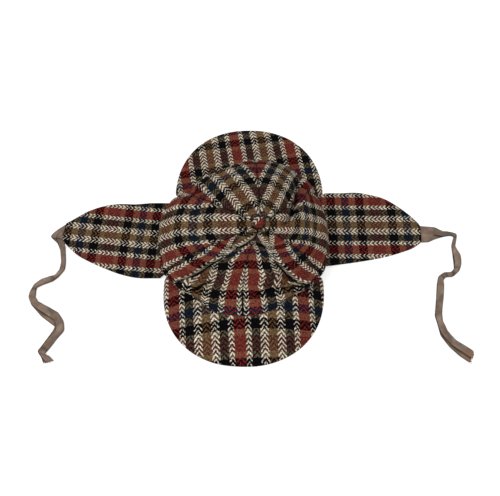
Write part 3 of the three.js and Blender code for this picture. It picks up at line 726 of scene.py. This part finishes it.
def flap_face(side, root, turn, length, columns, sewn):
    """Straight lines across the flap between its two edges, which follow the table; under the
    crown the lines close in on the opening's edge and rise to it. columns: the table's columns
    for the back and the front edge; sewn: the angles between which it is sewn on."""
    row = np.concatenate([np.linspace(-1, 0, 18)[:-1], np.linspace(0, 1, 90)])
    r, c = np.meshgrid(row, np.linspace(0, 1, 90), indexing="ij")
    sweep = 2 * c - 1
    along = np.maximum(r, 0)
    tip_half = RIBBON_WIDTH / 2
    edge = np.where(sweep > 0, *(column(FLAP_EDGES, k, along) for k in columns))
    half = tip_half + edge * (FLAP_HALF_WIDTH - tip_half)
    root = np.array([*root, 0.0])
    axis = np.array([np.cos(np.radians(turn)), np.sin(np.radians(turn)), 0])
    to_back = side * np.array([-axis[1], axis[0], 0])
    p = root + (along * length)[..., None] * axis + (sweep * half)[..., None] * to_back
    angle = side * np.radians(sewn[0] + (sewn[1] - sewn[0]) * c)
    sewn_height = opening_height(angle) - SEAM_GAP
    p += (opening_point(angle, CROWN_WALL + SEAM_GAP, sewn_height) - p) * np.maximum(-r, 0)[..., None]
    fall = smooth_step((FLAP_FALL - r) / (FLAP_FALL + 1))
    p[..., 2] = FLAP_THICKNESS + (sewn_height - FLAP_THICKNESS) * fall
    return p, root + (length + SEAM_GAP) * axis


STRAIGHT_DOWN = np.array([0.0, 0.0, -1.0])


def flat_piece(name, node, face, uv, thickness):
    """Peak or flap, its underside straight below its upper side."""
    piece = cloth_shell(f"{name}_cloth", face, uv, thickness, TWEED, down=STRAIGHT_DOWN)
    finish_piece(piece, node)


face, r = peak_face(-1, centre=(0.8, HEAD_CENTRE_Y - 0.55 * HEAD_HALF_DEPTH),
                    half_width=1.1 * HEAD_HALF_WIDTH, reach=92.8, sewn=69.5, outline=97, bend=1.15)
uv = plan_cloth(face, u=(3, 72.5, 1.128), v=(93, 75.6, 1.949))
face[..., 2] += ripples(face, seed=5, length=45, height=1.2) * r
flat_piece("front_peak", "front_peak", face, uv, PEAK_THICKNESS)
face, _ = peak_face(1, centre=(7, HEAD_CENTRE_Y + 0.75 * HEAD_HALF_DEPTH),
                    half_width=1.09 * HEAD_HALF_WIDTH, reach=101, sewn=47, outline=90, bend=0.35)
uv = plan_cloth(face, u=(9, 69.0, 0.817), v=(99, 76.4, -1.506))
flat_piece("back_peak", "back_peak", face, uv, PEAK_THICKNESS)

face, left_tip = flap_face(-1, root=(-HEAD_HALF_WIDTH - 8, 9.8), turn=174.4, length=125,
                           columns=(1, 2), sewn=(71.5, 122))
uv = plan_cloth(face, u=(-97, 66, 0.447), v=(-3, 70.8, 2.517))
flat_piece("left_flap", "left_ear_flap", face, uv, FLAP_THICKNESS)
face, right_tip = flap_face(1, root=(HEAD_HALF_WIDTH + 8, 25.5), turn=-3.1, length=122,
                            columns=(3, 4), sewn=(72.5, 130))
uv = plan_cloth(face, u=(-90, 68.3, 0.9445), v=(180, 73.0, 1.474))
flat_piece("right_flap", "right_ear_flap", face, uv, FLAP_THICKNESS)


def creased_path(points, count):
    """Line through points that is straight between them, its corners rounded over a few
    millimetres."""
    run = np.r_[0, np.cumsum(np.linalg.norm(np.diff(points[:, :2], axis=0), axis=1))]
    at = np.linspace(0, run[-1], count)
    rounding = np.linspace(-2, 2, 9)
    near = np.clip(at[:, None] + rounding, 0, run[-1])
    return np.column_stack([np.interp(near, run, points[:, k]).mean(axis=1)
                            for k in range(points.shape[1])])


def ribbon_face(side, tip, table, folds):
    """Tape between two edge lines. Where they are closer than its width, a pleat along it takes
    up the rest: the tape runs over, back and over again, and beyond the pleat its upper layer
    falls to the floor. Where even three layers are too wide, they are gathered. The tape also
    rises and falls along its length by a squared sine, and its end is ragged. Painted shade lies
    along the pleat's step. folds: lines of painted shade across it that stand for folds, by place
    along it, width and depth."""
    rows, columns = 300, 72
    middle = np.column_stack([tip[0] + side * table[:, 0] * RIBBON_UNIT,
                              tip[1] - table[:, 1] * RIBBON_UNIT])
    across = np.column_stack([side * table[:, 2], -table[:, 3]]) * RIBBON_WIDTH / 2
    line = creased_path(np.column_stack([middle, across]), rows)
    middle, across = line[:, :2], line[:, 2:]
    wanted = 2 * np.linalg.norm(across, axis=1)[:, None]
    narrowest = RIBBON_WIDTH / 3 + 0.5
    seen = np.clip(wanted, narrowest, RIBBON_WIDTH)
    gathered = np.minimum(wanted / seen, 1)
    back = (RIBBON_WIDTH - seen) / 2
    over = (RIBBON_WIDTH - back) / 2
    along_width = np.linspace(0, RIBBON_WIDTH, columns)
    out = np.where(along_width < over, along_width,
                   np.where(along_width < over + back, 2 * over - along_width,
                            along_width - 2 * back)) - seen / 2
    out = out * gathered
    pleated = smooth_step(back / 3)
    second_layer, third_layer, fall = 0.6, 1.8, 2.2
    lift = pleated * (second_layer * smooth_step((along_width - over) / 0.5 + 0.5)
                      + third_layer * smooth_step((along_width - over - back) / 1.8 + 0.5)
                      - fall * smooth_step((along_width - over - 2 * back)
                                           / np.maximum(over - back, 3)))
    run = np.r_[0, np.cumsum(np.linalg.norm(np.diff(middle, axis=0), axis=1))]
    wave_height, wave_length = 1.1, 47
    lift = lift + wave_height * np.sin(run[:, None] * np.pi / wave_length) ** 2
    direction = across / np.linalg.norm(across, axis=1, keepdims=True)
    raggedness, torn_rows, clearance = 1.6, 5, 0.1
    ragged = np.random.default_rng(11 + side).uniform(-raggedness, raggedness, columns)
    ahead = middle[-1] - middle[-4]
    ahead = ahead / np.linalg.norm(ahead)
    torn = smooth_step((np.arange(rows) - rows + torn_rows) / (torn_rows - 1))[:, None] * ragged
    p = stack(middle[:, :1] + out * direction[:, :1] + torn * ahead[0],
              middle[:, 1:] + out * direction[:, 1:] + torn * ahead[1],
              lift + RIBBON_THICKNESS + clearance)
    uv = np.stack(np.broadcast_arrays(along_width - RIBBON_WIDTH / 2, run[:, None]), axis=-1)
    # painted shade along the step of the pleat and across the tape at its folds
    pleat_painted_shade, pleat_width = 0.85, 1.6
    painted_shade = (pleat_painted_shade * pleated
              * np.exp(-((along_width - over + back) / pleat_width) ** 2))
    for place, width, dark in folds:
        painted_shade = painted_shade + dark * np.exp(-((run[:, None] - place) / width) ** 2)
    return p, uv, run[-1], np.clip(painted_shade, 0, 1)


# places, widths and depths of the lines of painted shade across each ribbon, which stand for its
# folds
for side, name, tip, table, folds in (
        (-1, "left", left_tip, LEFT_RIBBON, [(13, 1.2, 0.9), (71, 2.5, 0.6), (97, 2, 0.6),
                                             (171, 6, 0.35), (190, 2, 0.6), (198, 1.5, 0.5)]),
        (1, "right", right_tip, RIGHT_RIBBON, [(33, 5, 0.35), (44, 2, 0.7), (86, 2, 0.5),
                                               (95, 2.5, 0.7), (104, 2, 0.6), (110, 1.5, 0.5),
                                               (160, 3, 0.35)])):
    face, uv, length, painted_shade = ribbon_face(side, tip, table, folds)
    piece = cloth_shell(f"{name}_tape", face, uv, RIBBON_THICKNESS, TAPE, roll=0.2,
                        painted_shade=painted_shade)
    finish_piece(piece, f"{name}_ribbon")


def button_face():
    """Dome of revolution over a narrower foot, its radius and height given by a turn that runs
    from the foot to the top: rings of points, then the middles of the top and of the foot."""
    steps, sides = 24, 48
    foot_share, foot_height = 0.86, 0.2
    t = np.linspace(0, 1, steps)[:, None]
    turn = t * np.pi / 2
    radius = BUTTON_RADIUS * np.cos(turn * (0.5 + 0.5 * t))
    height = BUTTON_HEIGHT * (foot_height + (1 - foot_height) * np.sin(turn))
    angle = np.linspace(0, 2 * np.pi, sides + 1)[None, :-1]
    dome = stack(radius * np.cos(angle), radius * np.sin(angle), height)
    foot = stack(foot_share * BUTTON_RADIUS * np.cos(angle),
                 foot_share * BUTTON_RADIUS * np.sin(angle), 0.0)
    rings = np.concatenate([foot, dome[:-1]])
    count = len(rings)
    points = np.concatenate([rings.reshape(-1, 3), [[0, 0, BUTTON_HEIGHT], [0, 0, 0]]])
    r, c = np.meshgrid(np.arange(count - 1), np.arange(sides), indexing="ij")
    following = (c + 1) % sides
    quads = np.stack([r * sides + c, r * sides + following, (r + 1) * sides + following,
                      (r + 1) * sides + c], axis=-1).reshape(-1, 4)
    ring = np.arange(sides)
    after = (ring + 1) % sides
    last = (count - 1) * sides
    top_fan = np.stack([last + ring, last + after, np.full(sides, count * sides)], axis=1)
    foot_fan = np.stack([after, ring, np.full(sides, count * sides + 1)], axis=1)
    return points, quads.tolist() + top_fan.tolist() + foot_fan.tolist()


points, faces = button_face()
uv = plan_cloth(points, u=(-40, WARP_REPEAT, -0.095), v=(50, WEFT_REPEAT, 0.25))
# painted shade on the button's dome, darker from half its radius out to its rim
from_axis = np.hypot(points[:, 0], points[:, 1]) / BUTTON_RADIUS
piece = make_piece("covered_button", points + np.array([*APEX, CROWN_HEIGHT + SEAM_GAP]), faces, uv,
                   TWEED, painted_shade=0.3 * smooth_step(2 * from_axis - 1))
finish_piece(piece, "crown_button")

# Floor and light. The default view transform would turn the white ground grey.
FLOOR_HALF = 6.0
FLOOR_HEIGHT = -0.0002
bpy.context.scene.view_settings.view_transform = "Standard"
floor_mesh = bpy.data.meshes.new("floor")
floor_mesh.from_pydata([(x * FLOOR_HALF, y * FLOOR_HALF, FLOOR_HEIGHT)
                        for x, y in ((-1, -1), (1, -1), (1, 1), (-1, 1))], [], [(0, 1, 2, 3)])
floor = bpy.data.objects.new("floor", floor_mesh)
bpy.context.scene.collection.objects.link(floor)
paper = bpy.data.materials.new("white_paper")
paper.use_nodes = True
# the white ground of the photograph shows almost no shadow, so half of the paper's brightness
# is a glow
for socket, value in (("Base Color", linear("#B4B4B4")), ("Roughness", 1.0),
                      ("Specular IOR Level", 0.0), ("Emission Color", (1, 1, 1, 1)),
                      ("Emission Strength", 0.62)):
    paper.node_tree.nodes["Principled BSDF"].inputs[socket].default_value = value
floor_mesh.materials.append(paper)

world = bpy.data.worlds.new("studio")
bpy.context.scene.world = world
world.use_nodes = True
sky = world.node_tree.nodes["Background"]
sky.inputs["Color"].default_value = (1, 1, 1, 1)
sky.inputs["Strength"].default_value = 0.86

# one square lamp that faces the middle of the hat
lamp = bpy.data.lights.new("key_light", "AREA")
lamp.size = 0.8
lamp.energy = 16
lamp_place = np.array([-0.5, -0.7, 1.5])
holder = bpy.data.objects.new("key_light", lamp)
holder.location = lamp_place
away = unit(lamp_place)
holder.rotation_euler = (np.arccos(away[2]), 0, np.arctan2(away[0], -away[1]))
bpy.context.scene.collection.objects.link(holder)
